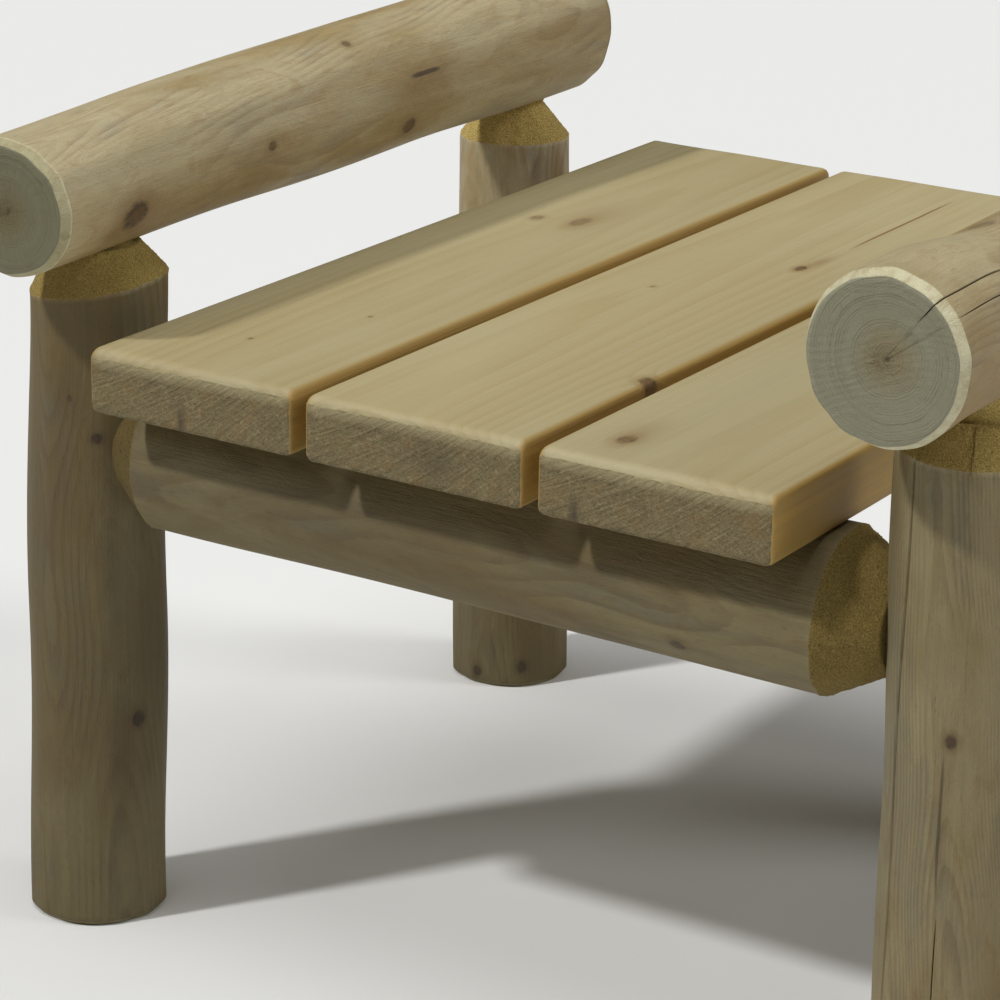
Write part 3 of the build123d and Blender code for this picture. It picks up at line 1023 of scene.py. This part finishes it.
def makeBoard(name, node, look):
    s = boardStyle
    low, high = (np.array(v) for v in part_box(node))
    size = high - low
    middle = (low + high) / 2
    box, faces, faceKinds = boardGrid(size)
    shaped = wearBoard(box, size, look["seed"])
    nearest = np.full(len(box), farAway)
    knotAt, lineAt = np.zeros((2, len(box), 3))
    warm = np.zeros(len(box))
    pithX, pithZ = (v * mm for v in look["pith"])
    rings = np.hypot(shaped[:, 0] - pithX, shaped[:, 2] - pithZ) / mm
    stray = smoothField(look["seed"] + 7, (0, 1, 1, 2), 1.1)(shaped[:, 0] * 14, shaped[:, 1])
    rings = rings + stray * s["ringWander"]
    under = (size[2] / 2 - shaped[:, 2]) / size[2]
    for mark in look["marks"]:
        if mark["kind"] == "crack":
            warm = np.maximum(warm, endMark(mark, shaped, middle, size))
            continue
        reach = mark["size"] * mm
        across = (shaped[:, 0] - mark["at"][0] * mm) / reach
        down = (shaped[:, 1] + middle[1] - mark["at"][1] * mm) / mark.get("long", s["markLong"]) / reach
        away = np.hypot(np.hypot(across, down), under * mark.get("sink", 2.1))
        tone = mark["tone"] * (under < s["knotThrough"])
        if mark["kind"] == "knot":
            way = knotWays(across, down, tone, away)
            knotAt = np.where((away < nearest)[:, None], way, knotAt)
            nearest = np.minimum(nearest, away)
            rings = rings - s["knotBulge"] * mark["size"] * hill(away / 2.6)
        elif mark["kind"] == "line":
            lineAt = knotWays(across, down, tone, away)
        else:
            warm = np.maximum(warm, mark["tone"] * hill(away))
    band, blend = s["sideBand"]
    fields = {
        "contour": rings,
        "warm": warm,
        "side": np.clip((np.abs(shaped[:, 0]) - (size[0] / 2 - band)) / blend, 0, 1),
        "topEdge": np.clip((box[:, 2] - size[2] / 2 + s["endRound"]) / s["endRound"], 0, 1),
        "tone": look["tone"] + 0 * warm,
    }
    place = np.stack([shaped[:, 0], shaped[:, 2], shaped[:, 1] + look["seed"] * 1.3], -1)
    vectors = {"place": place, "knotAt": knotAt, "lineAt": lineAt}
    return buildMesh(name, shaped + middle, faces, faceKinds, fields, vectors)


for node, look in boardLook.items():
    standFor(makeBoard(f"{node}_plank", node, look), node)
print("boards done")

# ---- screws keep their own shape ----
for node in ("seat_screws_front", "seat_screws_back", "rail_lock_screws", "arm_lock_screws"):
    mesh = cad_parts[node].data
    mesh.materials.clear()
    mesh.materials.append(materials["zinc"])

# ---- floor, lights and camera ----
studio = {
    "floorSize": 16.0,
    "floorTone": srgb(224, 224, 222),
    "floorHaze": srgb(218, 218, 215),
    "world": 0.06,
    "lights": [
        # name, azimuth, elevation, spread in degrees, strength
        ("overhead", 20, 84, 40, 1.5),
        ("key", -33, 48, 4, 1.9),
        ("sideFill", 112, 30, 20, 1.0),
    ],
    "cameraAt": (0.9723, -1.7533, 0.9569),
    "azimuth": 32.575,
    "elevation": 19.409,
    "roll": 0.941,
    "lens": 124.57,
    "sensor": 36.0,
}


def outward(azimuth, elevation):
    # the direction out from the bench, in degrees: azimuth 0 is its front and 90 its right
    a, e = math.radians(azimuth), math.radians(elevation)
    return Vector((math.sin(a) * math.cos(e), -math.cos(a) * math.cos(e), math.sin(e)))


def makeFloor():
    half = studio["floorSize"] / 2
    mesh = bpy.data.meshes.new("floor")
    corners = [(-half, -half, 0), (half, -half, 0), (half, half, 0), (-half, half, 0)]
    mesh.from_pydata(corners, [], [(0, 1, 2, 3)])
    floor = bpy.data.objects.new("floor", mesh)
    bpy.context.scene.collection.objects.link(floor)
    paint = Paint("paleFloor", 0.85)
    where = paint.node("TexCoord", output="Object")
    haze = paint.node("TexNoise", None, {"Vector": where, "Scale": 1.3, "Detail": 2.0})
    colour = paint.mix(haze * 0.12, studio["floorTone"], studio["floorHaze"])
    mesh.materials.append(paint.finish(colour))


def makeLights():
    for name, azimuth, elevation, spread, strength in studio["lights"]:
        data = bpy.data.lights.new(name, "SUN")
        data.angle, data.energy = math.radians(spread), strength
        light = bpy.data.objects.new(name, data)
        light.rotation_euler = outward(azimuth, elevation).to_track_quat("Z", "Y").to_euler()
        bpy.context.scene.collection.objects.link(light)
    world = bpy.data.worlds.new("studio")
    world.use_nodes = True
    background = world.node_tree.nodes["Background"]
    background.inputs["Color"].default_value = (1, 1, 1, 1)
    background.inputs["Strength"].default_value = studio["world"]
    bpy.context.scene.world = world


def makeCamera():
    data = bpy.data.cameras.new("camera")
    data.lens, data.sensor_width = studio["lens"], studio["sensor"]
    camera = bpy.data.objects.new("camera", data)
    back = outward(studio["azimuth"], studio["elevation"])
    right = Vector((0, 0, 1)).cross(back).normalized()
    up = back.cross(right)
    tilt = math.radians(studio["roll"])
    newRight = right * math.cos(tilt) + up * math.sin(tilt)
    newUp = up * math.cos(tilt) - right * math.sin(tilt)
    turned = Matrix((newRight, newUp, back)).transposed().to_4x4()
    camera.matrix_world = Matrix.Translation(studio["cameraAt"]) @ turned
    bpy.context.scene.collection.objects.link(camera)
    bpy.context.scene.camera = camera


makeFloor()
makeLights()
makeCamera()
bpy.context.scene.view_settings.view_transform = "Standard"
